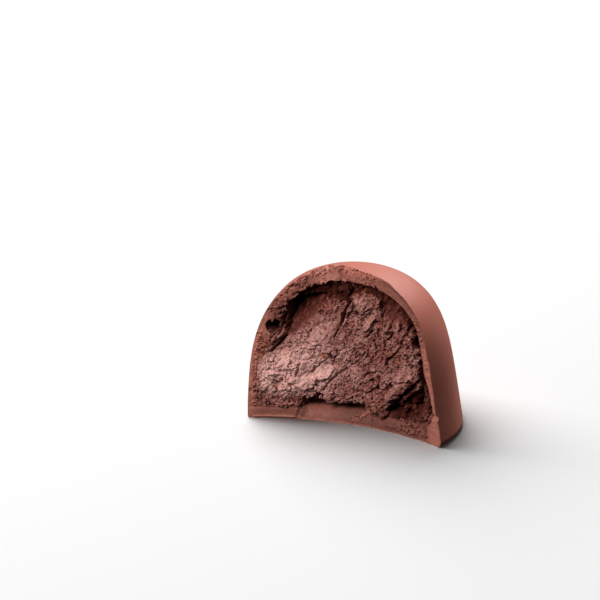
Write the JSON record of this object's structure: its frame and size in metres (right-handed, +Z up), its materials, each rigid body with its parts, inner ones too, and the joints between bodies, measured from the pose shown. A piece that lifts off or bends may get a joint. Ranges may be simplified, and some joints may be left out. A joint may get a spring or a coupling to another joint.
{
  "type": "chocolate truffle",
  "caption": "Bitten chocolate truffle: a domed chocolate shell with a flat floor, open at the bite, round a soft crumbly filling. Food prop that rests on its floor.",
  "frame": {"origin": "on the axis of the dome, at the underside of its floor", "axes": "+Z up along the axis of the dome; -Y the side that the bite faces; +X along the bite, to the right as it is faced"},
  "size_m": [0.0351, 0.0232, 0.0262],
  "materials": {
    "shell_chocolate": "moulded milk chocolate with a soft satin sheen on the outside and a dull grainy break at the bite",
    "filling_ganache": "dull, moist and crumbly whipped chocolate filling, torn at the bite"
  },
  "bodies": {
    "root": {"shell": "shell_chocolate", "filling": "filling_ganache"}
  },
  "joints": []
}
